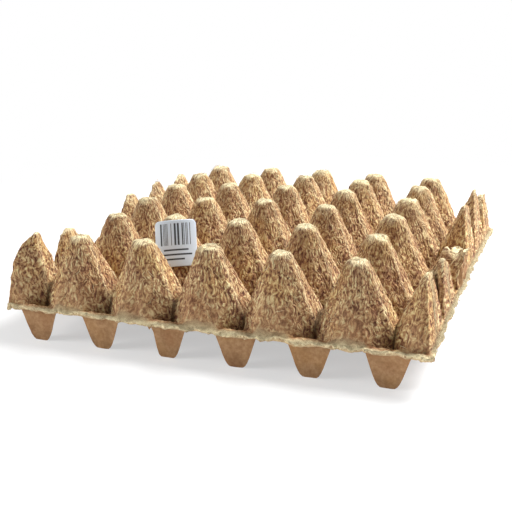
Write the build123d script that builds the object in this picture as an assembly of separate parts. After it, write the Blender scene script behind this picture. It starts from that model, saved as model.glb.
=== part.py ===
"""Moulded-pulp tray for thirty eggs, turned over as it lies when it is used as a lid.

The cups point up, the posts point down and carry the tray, and X runs along the rows of five cups.
The origin is on the floor under the middle of the tray, and every length is in millimetres.
"""

from build123d import *
import math
import os

# Lattice of cups
pitch = 48.0
cups_across = 5
cups_deep = 6

# Cups, eight-sided with bevelled edges, two flats facing along each axis
cup_height = 44.5
cup_foot = 25.0
cup_tip = 6.2
cup_edge_bevel = 0.03

# Posts, four-sided with bevelled edges, the edges facing along the axes
post_depth = 21.5
post_foot = 14.0
post_tip = 6.6
post_flat_share = 0.74

# Moulded shell
wall = 2.2
lip = 2.8
lip_corner_radius = 6.0
edge_cup_inset = 1.5
edge_wall_lean = 6.0

# Shape that use has left
bow_drop = 7.5
tear_width = 13.0
tear_height = 9.0
tear_reach = 20.0
tear_turn = 20.0

# Stuck-on paper label
label_width = 28.5
label_height = 32.0
label_thickness = 0.3
label_corner_radius = 3.0
label_curl_radius = 28.0
label_top_gap = 1.5
label_clearance = 0.2
label_column = 1
label_row = 1

# Heights of the blind cups along the left and right edges, front to back, as shares of a whole cup
left_edge_cups = [0.98, 0.70, 0.22, 0.78, 0.80, 0.80]
right_edge_cups = [0.92, 0.72, 0.52, 0.98, 1.0, 0.74]

# A cup lower than this share has been crushed from it, and has no tip left
lowest_whole_share = 0.68

# Sizes that follow from the ones above
half_span = pitch * cups_deep / 2
reach = half_span + lip
edge_cup_x = half_span - edge_cup_inset
cup_slope = (cup_foot - cup_tip) / cup_height
post_slope = (post_foot - post_tip) / (post_depth - wall)
post_flat_slope = post_slope * post_flat_share
post_skin_gap = wall * math.hypot(1, post_flat_slope)
floor_to_rim = post_depth + bow_drop
overlap = 1.0


def rim_height(y):
    """Height of the rim's top face: the sheet is bowed, highest in the middle, lowest front and back."""
    return floor_to_rim - bow_drop * (y / half_span) ** 2


def cup_columns():
    """X of the columns of whole cups."""
    return [(i - (cups_across - 1) / 2) * pitch for i in range(cups_across)]


def cup_rows():
    """Y of the rows of cups, front to back."""
    return [(j - (cups_deep - 1) / 2) * pitch for j in range(cups_deep)]


def folds():
    """Y of the lines between the rows, where the sheet bends and the posts stand, front to back."""
    return [(j - cups_deep / 2) * pitch for j in range(cups_deep + 1)]


def row_place(y):
    """Middle of a row on the rim's top face, tipped with the strip that the row is moulded in."""
    front = rim_height(y - pitch / 2)
    back = rim_height(y + pitch / 2)
    tilt = math.degrees(math.atan((back - front) / pitch))
    return Pos(0, y, (front + back) / 2) * Rot(tilt, 0, 0)


def rim_plate():
    """The sheet between cups and posts: one flat strip for each row, with a lip and rounded corners."""
    rows = folds()
    end_slope = (rim_height(rows[1]) - rim_height(rows[0])) / pitch
    end_height = rim_height(rows[0]) - lip * end_slope
    top = [(-reach, end_height)] + [(y, rim_height(y)) for y in rows[1:-1]] + [(reach, end_height)]
    bottom = [(y, z - wall) for y, z in reversed(top)]
    section = make_face(Plane.YZ * Polyline(top + bottom, close=True))
    sheet = extrude(section, amount=reach, both=True)
    outline = RectangleRounded(2 * reach, 2 * reach, lip_corner_radius)
    return sheet & extrude(outline, amount=2 * floor_to_rim)


def pyramid(sides, turn, foot, tip, height):
    """Frustum with flat sides, foot and tip being the distances of a side from its axis."""
    taper = math.degrees(math.atan((foot - tip) / height))
    base = RegularPolygon(foot, sides, major_radius=False, rotation=turn)
    return extrude(base, amount=height, taper=taper)


def cup_form(slope, shrink, low, high):
    """Cup's eight-sided form between two heights over the rim, every side moved in by shrink."""
    foot = cup_foot - shrink - low * slope
    tip = cup_foot - shrink - high * slope
    sides = pyramid(8, 22.5, foot, tip, high - low)
    bevels = pyramid(8, 0, foot * (1 + cup_edge_bevel), tip * (1 + cup_edge_bevel), high - low)
    return Pos(0, 0, low) * (sides & bevels)


def side_slope(share):
    """How far a cup's side leans in for each millimetre up; a low cup has the same foot and tip."""
    return cup_slope / max(share, lowest_whole_share)


def cup_skin(share=1.0):
    """Outside of a cup, from inside the rim plate to its tip."""
    return cup_form(side_slope(share), 0, -wall / 2, cup_height * share)


def cup_hollow(share=1.0):
    """Room for the egg, out through the mouth and up to a wall below the tip."""
    slope = side_slope(share)
    gap = wall * math.hypot(1, slope)
    return cup_form(slope, gap, -wall - overlap, cup_height * share - wall)


def whole_cups(shape):
    """Five cups in each of the six rows."""
    cup = shape()
    return [row_place(y) * Pos(x, 0, 0) * cup for y in cup_rows() for x in cup_columns()]


def edge_block(inward):
    """Room inside the outer walls of the edge cups, which lean in towards the top."""
    foot = half_span - inward
    tip = foot - edge_wall_lean
    bottom = foot + edge_wall_lean * floor_to_rim / cup_height
    top = floor_to_rim + cup_height
    section = make_face(Plane.XZ * Polyline((-bottom, 0), (bottom, 0), (tip, top), (-tip, top), close=True))
    return extrude(section, amount=reach, both=True)


def edge_cups(shape, inward):
    """Blind half-cups that fill out both edges, cut off by the block of their outer walls."""
    block = edge_block(inward)
    cups = []
    for y, left, right in zip(cup_rows(), left_edge_cups, right_edge_cups):
        cups.append(row_place(y) * Pos(-edge_cup_x, 0, 0) * shape(left) & block)
        cups.append(row_place(y) * Pos(edge_cup_x, 0, 0) * shape(right) & block)
    return cups


def post_form(shrink, high, low):
    """Post's four-sided form between two depths under the rim, every side moved in by shrink."""
    height = low - high
    foot = post_foot + (wall - high) * post_slope
    tip = post_foot + (wall - low) * post_slope
    sides = pyramid(4, 0, foot * post_flat_share - shrink, tip * post_flat_share - shrink, height)
    bevels = pyramid(4, 45, foot - shrink, tip - shrink, height)
    return Pos(0, 0, -high) * Rot(180, 0, 0) * (sides & bevels)


def posts(form, inward):
    """A post between every four cups, and half-posts cut off flat along the front and back edges."""
    room = Box(2 * reach, 2 * (half_span - inward), 4 * floor_to_rim)
    columns = [(i - cups_across / 2) * pitch for i in range(cups_across + 1)]
    placed = []
    for y in folds():
        for x in columns:
            post = Pos(x, y, rim_height(y)) * form
            placed.append(post & room if abs(y) > half_span - pitch / 2 else post)
    return placed


def tear():
    """Hole torn through the crushed cup in the right-hand edge."""
    hole = Box(tear_reach, tear_width, tear_height)
    return row_place(cup_rows()[2]) * Pos(half_span, 0, tear_height) * Rot(tear_turn, 0, 0) * hole


def make_tray():
    """The whole moulding: sheet, cups and posts, less the hollows behind them."""
    tray = rim_plate() + whole_cups(cup_skin)
    tray = tray + edge_cups(cup_skin, 0)
    tray = tray + posts(post_form(0, wall / 2, post_depth), 0)
    tray = tray - whole_cups(cup_hollow)
    tray = tray - edge_cups(cup_hollow, wall)
    tray = tray - posts(post_form(post_skin_gap, -overlap, post_depth - wall), wall)
    return tray - tear()


def make_label():
    """Paper label stuck along one bevelled edge of a cup, its stiff sides standing off the slope."""
    edge_slope = cup_slope * (1 + cup_edge_bevel)
    lean = math.degrees(math.atan(edge_slope))
    edge_tip = cup_tip * (1 + cup_edge_bevel)
    cup = row_place(cup_rows()[label_row]) * Pos(cup_columns()[label_column], 0, cup_height)
    edge = cup * Rot(0, 0, 22.5) * Pos(0, -edge_tip, 0) * Rot(-lean, 0, 0)
    middle = edge * Pos(0, -label_clearance, -label_top_gap - label_height / 2)
    curl = Cylinder(label_curl_radius + label_thickness, label_height) - Cylinder(label_curl_radius, label_height)
    outline = Plane.XZ * RectangleRounded(label_width, label_height, label_corner_radius)
    front = extrude(outline, amount=label_curl_radius)
    return middle * (Pos(0, label_curl_radius, 0) * curl & Pos(0, label_curl_radius / 2, 0) * front)


os.makedirs("parts", exist_ok=True)
export_step(make_tray(), "parts/tray.step")
export_step(make_label(), "parts/paper_label.step")
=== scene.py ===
"""A moulded-pulp tray of thirty cups, lying upside down as a lid, with a paper label stuck on one cup.
Sizes are in millimetres until they go into a mesh, a lamp or the camera."""

import math

import bpy
import numpy as np
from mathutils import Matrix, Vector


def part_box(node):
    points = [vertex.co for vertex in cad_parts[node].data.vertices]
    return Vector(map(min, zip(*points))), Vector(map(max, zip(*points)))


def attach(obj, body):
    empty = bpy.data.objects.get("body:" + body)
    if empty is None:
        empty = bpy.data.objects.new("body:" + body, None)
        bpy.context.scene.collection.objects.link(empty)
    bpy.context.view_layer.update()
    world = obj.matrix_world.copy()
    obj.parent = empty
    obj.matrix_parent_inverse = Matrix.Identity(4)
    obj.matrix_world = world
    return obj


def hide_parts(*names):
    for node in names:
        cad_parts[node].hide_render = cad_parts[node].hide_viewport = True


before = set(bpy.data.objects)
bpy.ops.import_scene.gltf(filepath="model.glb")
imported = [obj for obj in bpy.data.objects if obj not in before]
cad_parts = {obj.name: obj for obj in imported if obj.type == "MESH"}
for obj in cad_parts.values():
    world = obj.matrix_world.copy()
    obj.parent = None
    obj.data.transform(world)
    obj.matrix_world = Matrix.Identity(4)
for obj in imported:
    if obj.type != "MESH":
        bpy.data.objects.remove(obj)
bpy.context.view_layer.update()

# Moulded tray
# One felted sheet of waste paper, sucked on to a wire mould and oven dried: five by six cups point up, a
# post between every four points down, and blind half-cups fill out the left and right edges. It is bowed,
# so it stands on the half-posts of its front and back edges. These sizes are the solid's own.
reach = 1000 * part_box("tray")[1][0]
pitch = 48.0
cups_across = 5
cups_deep = 6
half_span = cups_deep / 2 * pitch
wall = 2.2
bow_drop = 7.5
cup_height = 44.5
cup_foot = 25.0
cup_tip = 6.2
cup_slope = (cup_foot - cup_tip) / cup_height
side_wall = wall * math.hypot(1, cup_slope)
edge_cup_inset = 1.5
edge_cup_x = half_span - edge_cup_inset
edge_wall_lean = 6.0
edge_wall_rise = cup_height / edge_wall_lean
post_depth = 21.5
post_foot = 14.0
post_tip = 6.6
post_flat_share = 0.74
post_slope = (post_foot - post_tip) / (post_depth - wall)


def rim_height(y):
    """Height of the bowed sheet's top face: highest in the middle, falling with the square of y."""
    return post_depth + bow_drop - bow_drop * (y / half_span) ** 2


def soft_max(a, b, rounding):
    """The larger of two heights, with a fillet a quarter of the rounding high where they cross. The fillet
    falls to nought where they differ by the rounding, as the square of what is left of it."""
    return np.maximum(a, b) + rounding / 4 * np.clip(1 - np.abs(a - b) / rounding, 0, 1) ** 2


def soft_min(a, b, rounding):
    """The smaller of two heights, with the edge between them rounded in the same way."""
    return -soft_max(-a, -b, rounding)


def fade(value, start, length):
    """Nought up to the start, then rising evenly to one over the length, and one from there on."""
    return np.clip((value - start) / length, 0, 1)


def stretch(value, middle, half_length):
    """One round the middle of a stretch and nought past its ends: e to minus the fourth power of the
    distance from the middle over the half length."""
    return np.exp(-(((value - middle) / half_length) ** 4))


def lumps(points, size, seed):
    """Smooth random height of unit spread: cosine waves about size long, in random directions, added up
    and divided by the root of half their number."""
    wave_count = 32
    rng = np.random.default_rng(seed)
    directions = rng.normal(size=(wave_count, 3))
    directions /= np.linalg.norm(directions, axis=1)[:, None]
    waves = 2 * math.pi / size * rng.uniform(0.7, 1.4, wave_count)
    phases = rng.uniform(0, 2 * math.pi, wave_count)
    total = np.zeros(points.shape[:-1])
    for direction, wave, phase in zip(directions, waves, phases):
        total += np.cos(points @ direction * wave + phase)
    return total / math.sqrt(wave_count / 2)


# Each cup is a soft eight-sided cone, a little out of true because wet pulp shrinks unevenly. The
# half-cups' heights are shares of a whole cup, front to back. One under the lowest whole share is crushed.
left_edge_cups = [0.98, 0.70, 0.22, 0.78, 0.80, 0.80]
right_edge_cups = [0.92, 0.72, 0.52, 0.98, 1.0, 0.74]
lowest_whole_share = 0.68
lean_spread = 0.012
most_height_lost = 0.9
shrinkage = np.random.default_rng(30)
cups = []
for row in range(cups_deep):
    cup_y = (row - (cups_deep - 1) / 2) * pitch
    tilt = (rim_height(cup_y + pitch / 2) - rim_height(cup_y - pitch / 2)) / pitch
    for column in range(-1, cups_across + 1):
        on_edge = column in (-1, cups_across)
        cup_x = (column - (cups_across - 1) / 2) * pitch
        share = 1.0
        if on_edge:
            cup_x = math.copysign(edge_cup_x, cup_x)
            share = (left_edge_cups if column < 0 else right_edge_cups)[row]
        lean_x, lean_y = shrinkage.normal(0, lean_spread, 2)
        height = cup_height * share - shrinkage.uniform(0, most_height_lost)
        shrinkage.normal()  # one draw is passed over, and the draws after it count on that
        cups.append({
            "x": cup_x, "y": cup_y, "height": height, "edge": on_edge,
            "lean_x": lean_x, "lean_y": lean_y - tilt,
            "fluting": shrinkage.uniform(0, 2 * math.pi, 3),
            "slope": cup_slope / max(share, lowest_whole_share),
        })
posts = [((i - cups_across / 2) * pitch, (j - cups_deep / 2) * pitch)
         for j in range(cups_deep + 1) for i in range(cups_across + 1)]

flutes = ((3, 0.010), (5, 0.008), (13, 0.005))
flat_rounding = 1.0
bevel_rounding = 1.2
cup_crown, cup_tip_rounding = 0.012, 5.0
edge_cup_crown, edge_cup_tip_rounding = 0.08, 1.5
lean_passes = 3
far_below = -3 * wall


def cup_rise(cup, x, y, shrink, cap):
    """Height of a cup's side at a point: it falls with the distance from the cup's leaning axis, measured
    eight-sided and slightly fluted, and stops at a tip crowned with the square of that distance, or on a
    half-cup with the square of the distance along the edge."""
    rise = np.zeros_like(x)
    for _ in range(lean_passes):
        dx = x - cup["x"] - cup["lean_x"] * rise
        dy = y - cup["y"] - cup["lean_y"] * rise
        angle = np.arctan2(dy, dx)
        fluted = 1
        for (count, depth), phase in zip(flutes, cup["fluting"]):
            fluted = fluted + depth * np.cos(count * angle + phase)
        straight = soft_max(np.abs(dx), np.abs(dy), flat_rounding)
        slanting = soft_max(np.abs(dx + dy), np.abs(dx - dy), flat_rounding) * math.sqrt(0.5)
        distance = soft_max(straight, slanting, bevel_rounding) * fluted
        crown = edge_cup_crown * dy**2 if cup["edge"] else cup_crown * distance**2
        tip_rounding = edge_cup_tip_rounding if cup["edge"] else cup_tip_rounding
        side = (cup_foot - shrink - distance) / cup["slope"]
        rise = soft_min(side, cup["height"] - cap - crown, tip_rounding)
        rise = np.maximum(rise, far_below)
    return rise


def post_drop(post, x, y, shrink):
    """Depth of a post's side at a point: it falls with the distance from the post's axis, measured
    four-sided."""
    dx, dy = np.abs(x - post[0]), np.abs(y - post[1])
    flats = (dx + dy) * math.sqrt(0.5) / post_flat_share
    distance = soft_max(flats, soft_max(dx, dy, flat_rounding), flat_rounding)
    return wall + (post_foot - shrink - distance) / post_slope


# The felt side is soft at every edge. The second half-cup on the right is split near its tip, by a slit
# along a slanting line through the split's mark.
outer_wall_rounding = 1.0
saddle_rounding = 3.0
pit_floor_rounding = 5.0
pit_mouth_rounding = 2.2
split_mark_x, split_mark_y = 136.5, -82
split_slant = 0.35
split_middle_y = -81
split_depth, split_half_width, split_half_length = 13, 1.5, 6.5


def upper_face(x, y):
    """Height of the felt side: the bowed sheet, raised by the cups and sunk into the posts' pits."""
    sheet = rim_height(y)
    rise = np.full_like(x, far_below)
    for cup in cups:
        own = cup_rise(cup, x, y, 0, 0)
        if cup["edge"]:
            own = soft_min(own, edge_wall_rise * (half_span - np.abs(x)), outer_wall_rounding)
        rise = soft_max(rise, own, saddle_rounding)
    height = soft_max(sheet, sheet + rise, saddle_rounding)
    inside = np.abs(y) < half_span - wall
    for post in posts:
        drop = soft_min(post_drop(post, x, y, side_wall), post_depth - wall, pit_floor_rounding)
        height = np.where(inside, soft_min(height, rim_height(post[1]) - drop, pit_mouth_rounding), height)
    off_split = (x - split_mark_x) + split_slant * (y - split_mark_y)
    from_split_middle = (y - split_middle_y) / split_half_length
    height -= split_depth * np.exp(-((off_split / split_half_width) ** 2) - from_split_middle**4)
    return height


# The mould side is sharper, and round at the posts' tips. A nick is torn out of the lower left edge of the
# third half-post in front.
inner_wall_rounding = 1.2
hollow_rounding = 1.5
post_tip_rounding = 7.0
post_foot_rounding = 1.2
nick_x = -33.6
nick_height, nick_half_width, nick_reach, nick_rounding = 9, 1.8, 3, 0.5


def under_face(x, y):
    """Height of the mould side: the sheet's underside, hollowed by the cups and drawn down round the
    posts."""
    sheet = rim_height(y) - wall
    rise = np.full_like(x, far_below)
    for cup in cups:
        own = cup_rise(cup, x, y, side_wall, wall)
        if cup["edge"]:
            own = soft_min(own, edge_wall_rise * (half_span - wall - np.abs(x)), inner_wall_rounding)
        rise = soft_max(rise, own, hollow_rounding)
    height = soft_max(sheet, sheet + wall + rise, hollow_rounding)
    inside = np.abs(y) < half_span
    for post in posts:
        drop = soft_min(post_drop(post, x, y, 0), post_depth, post_tip_rounding)
        height = np.where(inside, soft_min(height, rim_height(post[1]) - drop, post_foot_rounding), height)
    across_nick = (x - nick_x) / nick_half_width
    nick = nick_height * np.exp(-(across_nick**2) - ((y + half_span) / nick_reach) ** 2)
    return soft_min(height + nick, np.maximum(height, sheet), nick_rounding)


# The mesh is two grids, felt side and mould side, that share their lines and are joined round the lip. The
# lines crowd where a wall is upright: at the half-cups' outer walls and at the half-posts' flat faces.
def grid_lines(step, marks):
    """Places of the grid's lines: even steps out to the first mark, then the marks, mirrored."""
    count = math.ceil(2 * marks[0] / step)
    middle = np.linspace(-marks[0], marks[0], count + 1)
    outer = np.array(marks[1:])
    return np.concatenate([-outer[::-1], middle, outer])


grid_step = 1.5
outer_wall_lines = [136.5, *np.arange(137.1, 141.5, 0.6), *np.arange(141.5, half_span, 0.31), half_span]
post_face_lines = [141.7, 141.9, 142.6, 143.3, half_span - 0.05, half_span + 0.05]
lip_lines = [144.8, 145.7, 146.2, 146.6, reach]
thinnest = 0.5 * wall
across = grid_lines(grid_step, outer_wall_lines + lip_lines)
along = grid_lines(grid_step, post_face_lines + lip_lines)
x, y = np.meshgrid(across, along)
upper = np.stack([x, y, upper_face(x, y)], axis=-1)
under = np.stack([x, y, np.minimum(under_face(x, y), upper[..., 2] - thinnest)], axis=-1)


def grid_normals(points):
    """Unit normals of a grid, upwards: the cross product of its two directions at each point."""
    normals = np.cross(np.gradient(points, axis=1), np.gradient(points, axis=0))
    return normals / np.linalg.norm(normals, axis=-1)[..., None]


dome = 1.3
side_sag = 4.9
front_lift = 3.3
end_drop = 2.25
front_pinch = 0.0125


def settled(points):
    """Sags the sheet as lying in a stack has. It is lifted by a low dome and, towards the front, by a
    slope, and let down half-way along its sides and, with the square of y, at its ends. The lift grows from
    nought at the floor to its whole at the sheet, and the width shrinks evenly towards the front."""
    px, py, pz = points[..., 0], points[..., 1], points[..., 2]
    way = py / half_span
    side = fade(np.abs(px), 0, 2 * pitch) ** 2
    lift = dome - side_sag * side * (1 - way**2) - front_lift * way - end_drop * way**2
    pinch = 1 - front_pinch * (1 - way)
    return np.stack([px * pinch, py, pz + fade(pz, 0, post_depth) * lift], -1)


# What handling has done: the third half-cup on the right is crushed and creased and has a slanting hole
# torn through it, and the front left corner cup bulges outwards low down and is dented inwards above.
above_sheet = upper[..., 2] - rim_height(y)
crush_y, crush_half_length = -26, 20
crush_x, crush_start, crush_fade = 122, 8, 8
crushed = stretch(y, crush_y, crush_half_length) * fade(x, crush_x, crush_fade)
crushed *= fade(above_sheet, crush_start, crush_fade)
broad_crease, fine_crease, crush_drop = 3.4, 1.5, 2.5
flat_place = np.stack([x, y, 0 * x], -1)
creases = np.abs(lumps(flat_place, size=15.0, seed=7)) * broad_crease
creases = creases + np.abs(lumps(upper, size=8.0, seed=8)) * fine_crease - crush_drop
pushed_out, pushed_unevenly = 3.5, 1.2

up_cup = fade(above_sheet, 0, cup_height)
corner_cup_y, corner_cup_half_length = -120, 19
corner_cup_x, corner_cup_fade = 112, 12
outer_side_x, outer_side_fade = 130, 8
corner_bulge, corner_dent, dent_start = 6.5, 8, 0.25
corner_cup = stretch(y, corner_cup_y, corner_cup_half_length) * fade(-x, corner_cup_x, corner_cup_fade)
outer_side = fade(-x, outer_side_x, outer_side_fade)
dented = fade(up_cup, dent_start, 1 - dent_start)
bulge = corner_cup * (corner_bulge * np.sin(math.pi * up_cup) * outer_side - corner_dent * dented)

hole_from_x, hole_y, hole_height = 137.3, -24, 9
hole_half_width, hole_half_height, hole_slant = 6.0, 4.5, 0.35
off_hole = above_sheet - hole_height
hole = (x > hole_from_x) & (np.abs(y - hole_y + hole_slant * off_hole) < hole_half_width)
hole &= np.abs(off_hole) < hole_half_height

for face in (upper, under):
    face[..., 2] += crushed * creases
    face[..., 0] += crushed * (pushed_out + pushed_unevenly * lumps(upper, size=12.0, seed=9)) - bulge
under[..., 2] = np.minimum(under[..., 2], upper[..., 2] - thinnest)
upper, under = settled(upper), settled(under)

coarse_felt, fine_felt, mould_grain = 0.28, 0.17, 0.10
felt = coarse_felt * lumps(upper, size=7.0, seed=1) + fine_felt * lumps(upper, size=3.4, seed=2)
upper += grid_normals(upper) * felt[..., None]
grain = mould_grain * lumps(under, size=9.0, seed=3)
under += grid_normals(under) * grain[..., None]


def rounded_corners(flat, side, radius):
    """Draws a square's corners in to round ones, as a square is laid on a disc: in the last radius before
    each side, x shrinks by the root of one less half of y's share squared, and y by that of x's."""
    outward = fade(np.abs(flat), side - radius, radius)
    rounded = outward * np.sqrt(1 - outward[..., ::-1] ** 2 / 2)
    return flat - np.sign(flat) * (outward - rounded) * radius


# The lip is the sheet's deckle edge: rounded over, ragged, wavy, and folded in at the front left corner.
from_middle = np.maximum(np.abs(x), np.abs(y))
over_lip = fade(from_middle, half_span, reach - half_span)
lip_corner_radius = 6.0
lip_edge_radius = 0.9 * wall / 2
lip_edge = fade(from_middle, reach - wall / 2, wall / 2)
lip_drop = lip_edge_radius * (1 - np.sqrt(1 - lip_edge**2))
upper[..., 2] -= lip_drop
under[..., 2] += lip_drop
broad_rag, fine_rag = 0.5, 0.45
ragged = broad_rag * lumps(upper, size=9.0, seed=4) + fine_rag * lumps(upper, size=3.2, seed=5)
broad_wave, fine_wave = 0.5, 0.2
fold_half_length, folded_in, folded_down = 34, 2.7, 2.6
for face in (upper, under):
    face[..., :2] = rounded_corners(face[..., :2], reach, lip_corner_radius)
    face[..., 0] += np.sign(x) * over_lip * ragged * (np.abs(x) > half_span)
    face[..., 1] += np.sign(y) * over_lip * ragged * (np.abs(y) > half_span)
    wavy = broad_wave * lumps(face, size=14.0, seed=6) + fine_wave * lumps(face, size=3.5, seed=10)
    face[..., 2] += over_lip * wavy
    folded = over_lip * stretch(y, -half_span, fold_half_length) * (x < -half_span)
    face[..., 0] += folded_in * folded
    face[..., 2] -= folded_down * folded


def sheet_solid(front, back, kept):
    """Closed sheet from two matching grids: the kept cells of the front, those of the back turned round,
    and a wall along every line with a kept cell on one side only, so round the outside and each hole."""
    number = np.arange(kept.size + sum(kept.shape) + 1).reshape(front.shape[:2])
    behind = number + number.size
    cells = np.stack([number[:-1, :-1], number[:-1, 1:], number[1:, 1:], number[1:, :-1]], -1)[kept]
    back_cells = np.stack([behind[:-1, :-1], behind[1:, :-1], behind[1:, 1:], behind[:-1, 1:]], -1)[kept]
    padded = np.pad(kept, 1)
    left, right = padded[1:-1, :-1], padded[1:-1, 1:]
    below, above = padded[:-1, 1:-1], padded[1:, 1:-1]
    starts = [number[:-1][left & ~right], number[1:][right & ~left]]
    starts += [number[:, 1:][below & ~above], number[:, :-1][above & ~below]]
    ends = [number[1:][left & ~right], number[:-1][right & ~left]]
    ends += [number[:, :-1][below & ~above], number[:, 1:][above & ~below]]
    start, end = np.concatenate(starts), np.concatenate(ends)
    walls = np.stack([start, start + number.size, end + number.size, end], -1)
    points = np.concatenate([front.reshape(-1, 3), back.reshape(-1, 3)])
    return points, np.concatenate([cells, back_cells, walls])


def piece(name, points, faces):
    """Smooth-shaded object at the origin, with its place in its mesh, from points in millimetres."""
    mesh = bpy.data.meshes.new(name)
    mesh.from_pydata(points * 0.001, [], faces)
    mesh.shade_smooth()
    made = bpy.data.objects.new(name, mesh)
    bpy.context.scene.collection.objects.link(made)
    return made


kept_cells = ~(hole[:-1, :-1] & hole[1:, 1:])
tray = piece("tray_moulding", *sheet_solid(upper, under, kept_cells))
tray.data.set_sharp_from_angle(angle=math.radians(60))

# The pulp's pattern follows these. Streaks run down the cups, each cup with its own. Ridges and lip are
# rubbed pale and also carry painted highlight, and the upward-facing tips are painted pale as if lit from
# above. The felt side is rough, less so at the front and back edges, and the mould side smooth.
streaks_round, streaks_down, lip_streaks = 14, 0.4, 0.7
next_row_of_streaks = 1.7
widest_x, widest_y = (cups_across + 1) / 2, (cups_deep - 1) / 2
nearest_x = np.clip(np.round(x / pitch), -widest_x, widest_x) * pitch
nearest_y = np.clip(np.round(y / pitch - 0.5) + 0.5, -widest_y, widest_y) * pitch
dx, dy = x - nearest_x, y - nearest_y
from_axis = np.hypot(dx, dy) + 1e-6
down_streak = streaks_down * upper[..., 2] + nearest_x + next_row_of_streaks * nearest_y
streaks = np.stack([streaks_round * dx / from_axis, streaks_round * dy / from_axis, down_streak], -1)
streaks += over_lip[..., None] * (lip_streaks * upper - streaks)
above_rim = (upper[..., 2] - rim_height(y)) / cup_height
# Painted highlight: the upward-facing tops of the cups are made pale, as light from above falls on them.
facing_up = fade(grid_normals(upper)[..., 2], start=0.5, length=0.35)
painted_tip_highlight = facing_up * fade(above_rim, start=0.15, length=0.3)
# Pale lines along the ridges: partly rubbed wear, partly painted highlight where fuzz on the edges catches
# light.
off_ridge = np.abs(np.maximum(np.abs(dx), np.abs(dy)) - (np.abs(dx) + np.abs(dy)) * math.sqrt(0.5))
ridge_half_width = 1.2
ridges = 1 - fade(off_ridge, 0, ridge_half_width)
ridges *= fade(above_rim, start=0.05, length=0.2) * (np.abs(dx) > np.abs(dy))
# Pale lip: partly rubbed wear, partly painted highlight along its top.
rubbed_and_lit_lip = fade(from_middle, start=half_span - 0.5, length=2.5)
ridge_wear_and_highlight, lip_wear_and_highlight = 0.45, 0.95
pale_wear_and_highlight = np.maximum(np.maximum(painted_tip_highlight, ridge_wear_and_highlight * ridges), lip_wear_and_highlight * rubbed_and_lit_lip)
end_wall_y, end_wall_fade, end_wall_smoothness = 136, 8, 0.55
rough = 1 - end_wall_smoothness * fade(np.abs(y), end_wall_y, end_wall_fade)
for name, kind, key, felt_values, mould_values in (
    ("streaks", "FLOAT_VECTOR", "vector", streaks, streaks),
    ("pale_wear_and_highlight", "FLOAT", "value", pale_wear_and_highlight, 0.5 * over_lip),
    ("felt_side", "FLOAT", "value", rough, 0 * x),
):
    attribute = tray.data.attributes.new(name, kind, "POINT")
    values = np.concatenate([felt_values.ravel(), mould_values.ravel()])
    attribute.data.foreach_set(key, np.ascontiguousarray(values, dtype=np.float32))


def srgb(code):
    """Linear colour of an sRGB hex code, channel by channel through the sRGB curve."""
    channels = [int(code[i : i + 2], 16) / 255 for i in (1, 3, 5)]
    return (*(c / 12.92 if c <= 0.04045 else ((c + 0.055) / 1.055) ** 2.4 for c in channels), 1)


def node(material, kind, links=None, steps=(), **settings):
    """Adds a node: settings are its properties, links map its input names to values or to other nodes'
    outputs, and steps are the places and hex colours of a colour ramp."""
    made = material.node_tree.nodes.new(kind)
    for key, value in settings.items():
        setattr(made, key, value)
    for key, value in (links or {}).items():
        if isinstance(value, bpy.types.NodeSocket):
            material.node_tree.links.new(value, made.inputs[key])
        else:
            made.inputs[key].default_value = value
    for _ in steps[2:]:
        made.color_ramp.elements.new(0.5)
    for index, (position, code) in enumerate(steps):
        made.color_ramp.elements[index].position = position
        made.color_ramp.elements[index].color = srgb(code)
    return made


# Felted kraft pulp is dull, porous and mottled: dark specks and pale clumps, strokes and fibre lines where
# the slurry ran down the cups, patches of a redder or yellower cast, pale fuzz where it is rubbed, a cream
# painted highlight on the upward-facing tips, the ridges and the lip, and a plainer face on the mould side.
# The pattern's sizes are millimetres, and those in its ramps are shares.
patch_size, clump_size, swirl_size = 28.0, 2.2, 6.0
strokes_per_mm, fibre_lines_per_mm = 0.95, 0.42
swirl_reach = 3.5
nap_height = 1.2
pulp = bpy.data.materials.new("felted_kraft_pulp")
pulp.use_nodes = True
surface = pulp.node_tree.nodes["Principled BSDF"]
place = node(pulp, "ShaderNodeTexCoord").outputs["Object"]
run = node(pulp, "ShaderNodeAttribute", attribute_name="streaks").outputs["Vector"]
on_felt = node(pulp, "ShaderNodeAttribute", attribute_name="felt_side").outputs["Fac"]
pale_wear_highlight_share = node(pulp, "ShaderNodeAttribute", attribute_name="pale_wear_and_highlight").outputs["Fac"]
patches = node(pulp, "ShaderNodeTexNoise", {"Vector": place, "Scale": 1000 / patch_size, "Detail": 2.0})
clumps = node(pulp, "ShaderNodeTexNoise",
              {"Vector": place, "Scale": 1000 / clump_size, "Detail": 3.0, "Roughness": 0.6})
swirl = node(pulp, "ShaderNodeTexNoise", {"Vector": place, "Scale": 1000 / swirl_size, "Detail": 1.0})
bend = node(pulp, "ShaderNodeVectorMath", {0: swirl.outputs["Color"], 1: (0.5, 0.5, 0.5)},
            operation="SUBTRACT")
bent_run = node(pulp, "ShaderNodeVectorMath", {0: bend.outputs[0], 1: [swirl_reach] * 3, 2: run},
                operation="MULTIPLY_ADD").outputs[0]
strokes = node(pulp, "ShaderNodeTexNoise",
               {"Vector": bent_run, "Scale": strokes_per_mm, "Detail": 2.0, "Roughness": 0.55})
fibres = node(pulp, "ShaderNodeTexNoise", {"Vector": bent_run, "Scale": fibre_lines_per_mm, "Detail": 3.0},
              noise_type="RIDGED_MULTIFRACTAL")
fibre_lines = node(pulp, "ShaderNodeMapRange", {0: fibres.outputs["Fac"], 1: 0.9, 2: 1.7, 3: 0.0, 4: 0.75})
mottle = node(pulp, "ShaderNodeMix", {0: 0.72, 2: clumps.outputs["Fac"], 3: strokes.outputs["Fac"]},
              data_type="FLOAT").outputs[0]
rough_tone = node(pulp, "ShaderNodeValToRGB", {"Fac": mottle},
                  steps=[(0.36, "#573426"), (0.45, "#8b6449"), (0.53, "#b69368"), (0.64, "#dccc9e")])
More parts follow.
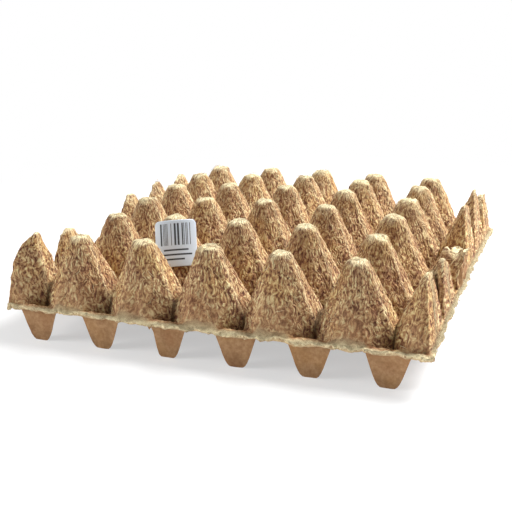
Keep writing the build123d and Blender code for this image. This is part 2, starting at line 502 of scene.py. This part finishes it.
fibre_tone = node(pulp, "ShaderNodeMix",
                  {0: fibre_lines.outputs[0], 6: rough_tone.outputs["Color"], 7: srgb("#dccaa0")},
                  data_type="RGBA")
smooth_tone = node(pulp, "ShaderNodeValToRGB", {"Fac": clumps.outputs["Fac"]},
                   steps=[(0.3, "#94714f"), (0.5, "#a37e5a"), (0.7, "#b08c66")])
both_sides = node(pulp, "ShaderNodeMix",
                  {0: on_felt, 6: smooth_tone.outputs["Color"], 7: fibre_tone.outputs[2]},
                  data_type="RGBA")
cast = node(pulp, "ShaderNodeValToRGB", {"Fac": patches.outputs["Fac"]},
            steps=[(0.36, "#dcc6ba"), (0.5, "#ffffff"), (0.66, "#fff4d8")])
warmed = node(pulp, "ShaderNodeMix", {0: 0.6, 6: both_sides.outputs[2], 7: cast.outputs["Color"]},
              data_type="RGBA", blend_type="MULTIPLY")
# Cream painted highlight and rubbed wear: mixed in where tips, ridges and lip were marked pale, broken up
# by the mottle.
fuzz = node(pulp, "ShaderNodeMapRange", {0: mottle, 1: 0.38, 2: 0.56, 3: 0.15, 4: 1.0})
pale = node(pulp, "ShaderNodeMath", {0: pale_wear_highlight_share, 1: fuzz.outputs[0]}, operation="MULTIPLY")
pale_fuzz_and_highlight = node(pulp, "ShaderNodeMix", {0: pale.outputs[0], 6: warmed.outputs[2], 7: srgb("#ede1b6")},
             data_type="RGBA")
pulp.node_tree.links.new(pale_fuzz_and_highlight.outputs[2], surface.inputs["Base Color"])
surface.inputs["Roughness"].default_value = 0.92
surface.inputs["Specular IOR Level"].default_value = 0.25
grip = node(pulp, "ShaderNodeMapRange", {0: on_felt, 1: 0.0, 2: 1.0, 3: 0.2, 4: 1.0})
nap = node(pulp, "ShaderNodeMath", {0: mottle, 1: 2.0}, operation="MULTIPLY")
bump = node(pulp, "ShaderNodeBump",
            {"Strength": grip.outputs[0], "Distance": nap_height / 1000, "Height": nap.outputs[0]})
pulp.node_tree.links.new(bump.outputs["Normal"], surface.inputs["Normal"])
tray.data.materials.append(pulp)
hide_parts("tray")
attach(tray, "root")

# Loose fibres
# Hairs of paper fibre that the felt side lets go when it is rubbed: they lie down the slopes of the cups
# with their ends up. A real one is a twentieth of a millimetre thick, and these are coarse enough to show.
hair_count = 3600
hair_radius = 0.13
hair_lengths = (3.0, 8.0)
hair_range = (-reach + 3, reach - 1)
hair_scatter, hair_veer, hair_bow, hair_lift = 0.12, 0.55, 0.7, (0.1, 0.8)
lowest_root, highest_root = 14, 72
label_x, label_y = -pitch, -1.6 * pitch
label_clear_x, label_clear_y = 19, 18
crush_middle_x, crush_clear = 138, 26
shed = np.random.default_rng(12)
hair_column = np.searchsorted(across, shed.uniform(*hair_range, hair_count))
hair_row = np.searchsorted(along, shed.uniform(*hair_range, hair_count))
root, out = upper[hair_row, hair_column], grid_normals(upper)[hair_row, hair_column]

# None is rooted under the label, in the crushed cup, near the floor or at a high tip.
under_label = np.abs(root[:, 0] - label_x) < label_clear_x
under_label &= np.abs(root[:, 1] - label_y) < label_clear_y
in_crush = np.hypot(root[:, 0] - crush_middle_x, root[:, 1] - crush_y) <= crush_clear
rooted = (root[:, 2] > lowest_root) & (root[:, 2] < highest_root) & ~under_label & ~in_crush
root, out = root[rooted], out[rooted]

# Each hair runs downhill and veers to one side, bowed along the felt and lifted at both ends.
downhill = out * out[:, 2:] - [0, 0, 1]
downhill += shed.normal(0, hair_scatter, downhill.shape)
downhill -= out * np.sum(out * downhill, axis=1)[:, None]
downhill /= np.linalg.norm(downhill, axis=1)[:, None]
sideways = np.cross(out, downhill)
veer = shed.normal(0, hair_veer, (len(root), 1))
run_way = np.cos(veer) * downhill + np.sin(veer) * sideways
cross_way = np.cos(veer) * sideways - np.sin(veer) * downhill
length = shed.uniform(*hair_lengths, (len(root), 1))
bow = shed.normal(0, hair_bow, (len(root), 1))
lifted = shed.uniform(*hair_lift, (len(root), 1))
hair_rest = 0.12
stations, sides = 4, 3
middle = [root + out * (hair_rest + lifted * s**2) + run_way * length / 2 * s + cross_way * bow * (1 - s**2)
          for s in np.linspace(-1, 1, stations)]
round_hair = 2 * math.pi / sides * np.arange(sides)
rings = [[m + hair_radius * (out * math.cos(a) + cross_way * math.sin(a)) for a in round_hair]
         for m in middle]
hair_points = np.array(rings).transpose(2, 0, 1, 3).reshape(-1, 3)
ring = np.arange(stations * sides).reshape(stations, sides)
next_side = np.roll(ring, -1, 1)
hair_sides = np.stack([ring[:-1], ring[1:], next_side[1:], next_side[:-1]], -1).reshape(-1, 4)
hair_ends = np.array([ring[0], ring[-1, ::-1]])
first_point = ring.size * np.arange(len(root))[:, None, None]
hair_faces = (hair_sides + first_point).reshape(-1, 4).tolist()
hair_faces += (hair_ends + first_point).reshape(-1, 3).tolist()
hairs = piece("loose_fibres", hair_points, hair_faces)

# Cellulose fibre is matt, from brown to pale straw in patches, as the recycled paper it comes from is.
hair_tone_size = 6.0
cellulose = bpy.data.materials.new("loose_cellulose_fibre")
cellulose.use_nodes = True
hair_surface = cellulose.node_tree.nodes["Principled BSDF"]
hair_place = node(cellulose, "ShaderNodeTexCoord").outputs["Object"]
hair_tone = node(cellulose, "ShaderNodeTexNoise",
                 {"Vector": hair_place, "Scale": 1000 / hair_tone_size, "Detail": 1.0})
hair_colour = node(cellulose, "ShaderNodeValToRGB", {"Fac": hair_tone.outputs["Fac"]},
                   steps=[(0.35, "#8f6a4a"), (0.5, "#bc9a70"), (0.65, "#e2d3a6")])
cellulose.node_tree.links.new(hair_colour.outputs["Color"], hair_surface.inputs["Base Color"])
hair_surface.inputs["Roughness"].default_value = 0.85
hairs.data.materials.append(cellulose)
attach(hairs, "root")

# Paper label
# A small white sticker pressed on one bevelled edge of a cup in the second row, its stiff sides standing
# off the slope. It is printed with plain bars and rules.
label_width = 28.5
label_height = 32.0
label_thickness = 0.3
label_corner_radius = 3.0
label_curl_radius = 28.0
label_top_gap = 1.5
label_off_edge = 0.9
label_columns, label_rows = 60, 58
cup_edge_bevel = 0.03
edge_turn_degrees = 22.5
label_cup_x, label_cup_y = -pitch, -1.5 * pitch


def turned(axis, degrees):
    """Rotation matrix about X (0) or Z (2)."""
    c, s = math.cos(math.radians(degrees)), math.sin(math.radians(degrees))
    return np.array([[1, 0, 0], [0, c, -s], [0, s, c]] if axis == 0 else [[c, -s, 0], [s, c, 0], [0, 0, 1]])


# The blank is a rectangle with round corners, rolled about an upright axis behind it: it falls back from
# its middle line as an arc of the curl's radius does.
u, v = np.meshgrid(np.linspace(-1, 1, label_columns + 1), np.linspace(-1, 1, label_rows + 1))
blank = rounded_corners(np.stack([u, v], -1), 1, label_corner_radius / (label_width / 2))
across_label = blank[..., 0] * label_width / 2
up_label = blank[..., 1] * label_height / 2
curled_back = label_curl_radius - np.sqrt(label_curl_radius**2 - across_label**2)
front_points = np.stack([across_label, curled_back - label_thickness, up_label], -1)
back_points = np.stack([across_label, curled_back, up_label], -1)
front_rim, back_rim = rim_height(label_cup_y - pitch / 2), rim_height(label_cup_y + pitch / 2)
row_turn = turned(0, math.degrees(math.atan((back_rim - front_rim) / pitch)))
edge_lean = turned(0, -math.degrees(math.atan(cup_slope * (1 + cup_edge_bevel))))


def on_cup(points):
    """Label points in the tray: slid down the edge from the tip, leaned with it, turned to face it, and set
    on the row."""
    leaned = (points + [0, -label_off_edge, -label_top_gap - label_height / 2]) @ edge_lean.T
    at_edge = leaned + [0, -cup_tip * (1 + cup_edge_bevel), 0]
    stood = at_edge @ turned(2, edge_turn_degrees).T + [label_cup_x, 0, cup_height]
    return settled(stood @ row_turn.T + [0, label_cup_y, (front_rim + back_rim) / 2])


whole_blank = np.ones((label_rows, label_columns), bool)
label = piece("paper_label_sheet", *sheet_solid(on_cup(front_points), on_cup(back_points), whole_blank))
label_uv = np.concatenate([np.stack([u, v], -1).reshape(-1, 2)] * 2) * 0.5 + 0.5
corner_points = np.empty(len(label.data.loops), dtype=np.int32)
label.data.loops.foreach_get("vertex_index", corner_points)
label.data.uv_layers.new(name="print").data.foreach_set("uv", label_uv[corner_points].ravel())

# Coated sticker paper is smooth and bluish white, printed in near-black ink. The bars fall at random.
bar_places = 64.0
bar_share = 0.5
rule_half_height = 0.018
rules = ((0.36, 0.2, 0.8), (0.26, 0.12, 0.88), (0.16, 0.12, 0.7))
paper = bpy.data.materials.new("printed_sticker_paper")
paper.use_nodes = True
gloss = paper.node_tree.nodes["Principled BSDF"]
print_map = node(paper, "ShaderNodeUVMap", uv_map="print")
print_uv = node(paper, "ShaderNodeSeparateXYZ", {0: print_map.outputs["UV"]})
across_print, up_print = print_uv.outputs["X"], print_uv.outputs["Y"]
bar_place = node(paper, "ShaderNodeMath", {0: across_print, 1: bar_places}, operation="MULTIPLY")
bar_number = node(paper, "ShaderNodeMath", {0: bar_place.outputs[0]}, operation="FLOOR")
bar_chance = node(paper, "ShaderNodeTexWhiteNoise", {"W": bar_number.outputs[0]}, noise_dimensions="1D")
bars = node(paper, "ShaderNodeMath", {0: bar_chance.outputs["Value"], 1: bar_share},
            operation="GREATER_THAN").outputs[0]


def printed_block(left, right, low, high, mask):
    """The mask inside a block of the print, and nought outside it. A point is inside where it lies less
    than half the block's size from its middle, both across the print and up it."""
    for value, start, end in ((across_print, left, right), (up_print, low, high)):
        centred = node(paper, "ShaderNodeMath", {0: value, 1: (start + end) / 2}, operation="SUBTRACT")
        distance = node(paper, "ShaderNodeMath", {0: centred.outputs[0]}, operation="ABSOLUTE")
        inside = node(paper, "ShaderNodeMath", {0: distance.outputs[0], 1: (end - start) / 2},
                      operation="LESS_THAN")
        mask = node(paper, "ShaderNodeMath", {0: inside.outputs[0], 1: mask},
                    operation="MULTIPLY").outputs[0]
    return mask


ink = printed_block(0.13, 0.87, 0.46, 0.93, bars)
for rule_height, start, end in rules:
    rule = printed_block(start, end, rule_height - rule_half_height, rule_height + rule_half_height, 1.0)
    ink = node(paper, "ShaderNodeMath", {0: ink, 1: rule}, operation="MAXIMUM").outputs[0]
inked = node(paper, "ShaderNodeMix", {0: ink, 6: srgb("#d3dde8"), 7: srgb("#2c3037")}, data_type="RGBA")
paper.node_tree.links.new(inked.outputs[2], gloss.inputs["Base Color"])
gloss.inputs["Roughness"].default_value = 0.45
label.data.materials.append(paper)
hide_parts("paper_label")
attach(label, "root")

# Floor, light and camera
# A white table and background, a window's light from behind on the right and two weak ones from the left
# and the front. The table fades to plain white away from the tray, and keeps the tray's shadow near it.
table_half_width = 8000
table_corners = table_half_width * np.array([(-1, -1, 0), (1, -1, 0), (1, 1, 0), (-1, 1, 0)])
floor = piece("floor", table_corners, [(0, 1, 2, 3)])
white = bpy.data.materials.new("white_table")
white.use_nodes = True
table = white.node_tree.nodes["Principled BSDF"]
table.inputs["Base Color"].default_value = srgb("#f2f2f2")
table.inputs["Roughness"].default_value = 0.9
floor.data.materials.append(white)


def seen_white(material, shader, plain_kind, share):
    """Mixes plain white into what the camera, a reflection or a see-through surface sees of a shader."""
    path = node(material, "ShaderNodeLightPath").outputs
    ray = node(material, "ShaderNodeMath", {0: path["Is Camera Ray"], 1: path["Is Glossy Ray"]},
               operation="MAXIMUM")
    ray = node(material, "ShaderNodeMath", {0: ray.outputs[0], 1: path["Is Transmission Ray"]},
               operation="MAXIMUM")
    part = node(material, "ShaderNodeMath", {0: ray.outputs[0], 1: share}, operation="MULTIPLY")
    plain = node(material, plain_kind, {"Strength": 1.0, "Color": (1, 1, 1, 1)})
    mixed = node(material, "ShaderNodeMixShader", {0: part.outputs[0], 1: shader, 2: plain.outputs[0]})
    return mixed.outputs[0]


fade_start, fade_end = 0.15, 0.5
floor_place = node(white, "ShaderNodeTexCoord").outputs["Object"]
far = node(white, "ShaderNodeVectorMath", {0: floor_place}, operation="LENGTH")
fading = node(white, "ShaderNodeMapRange",
              {0: far.outputs["Value"], 1: fade_start, 2: fade_end, 3: 0.5, 4: 1.0})
faded = seen_white(white, table.outputs[0], "ShaderNodeEmission", fading.outputs[0])
white.node_tree.links.new(faded, white.node_tree.nodes["Material Output"].inputs["Surface"])

world = bpy.data.worlds.new("studio")
bpy.context.scene.world = world
world.use_nodes = True
sky = world.node_tree.nodes["Background"]
sky.inputs["Color"].default_value = (1, 1, 1, 1)
sky.inputs["Strength"].default_value = 0.12
backdrop = seen_white(world, sky.outputs[0], "ShaderNodeBackground", 1.0)
world.node_tree.links.new(backdrop, world.node_tree.nodes["World Output"].inputs["Surface"])


def lamp(name, spot, size, watts):
    """Square area light at a spot in metres, turned to shine at the middle of the tray."""
    data = bpy.data.lights.new(name, "AREA")
    data.size, data.energy = size, watts
    made = bpy.data.objects.new(name, data)
    bpy.context.scene.collection.objects.link(made)
    made.location = spot
    made.rotation_euler = (Vector((0, 0, 0.03)) - Vector(spot)).to_track_quat("-Z", "Y").to_euler()


lamp("window_behind_right", (0.5, 0.52, 0.9), 0.7, 39)
lamp("left_fill", (-1.2, -0.6, 0.55), 0.6, 14)
lamp("front_fill", (0.3, -1.4, 0.4), 0.8, 1.0)

# The camera stands where the photograph's does: turned, raised and tilted by these angles about its aim.
camera_azimuth, camera_elevation, camera_roll = np.radians([21.03, 18.11, -1.57])
camera_aim = np.array([-14.4, -6.7, 25.0])
camera_distance = 646.1
flat_away = np.array([math.sin(camera_azimuth), -math.cos(camera_azimuth), 0.0])
away = flat_away * math.cos(camera_elevation) + [0, 0, math.sin(camera_elevation)]
level = np.array([math.cos(camera_azimuth), math.sin(camera_azimuth), 0.0])
upright = np.cross(away, level)
right = math.cos(camera_roll) * level + math.sin(camera_roll) * upright
top = -math.sin(camera_roll) * level + math.cos(camera_roll) * upright
turn = np.eye(4)
turn[:3] = np.stack([right, top, away, (camera_aim + away * camera_distance) * 0.001], -1)
camera = bpy.data.objects.new("camera", bpy.data.cameras.new("camera"))
bpy.context.scene.collection.objects.link(camera)
camera.matrix_world = Matrix(turn.tolist())
camera.data.sensor_width = 36
camera.data.lens = 59.53
camera.data.clip_start = 0.01
bpy.context.scene.camera = camera
bpy.context.scene.view_settings.view_transform = "Standard"
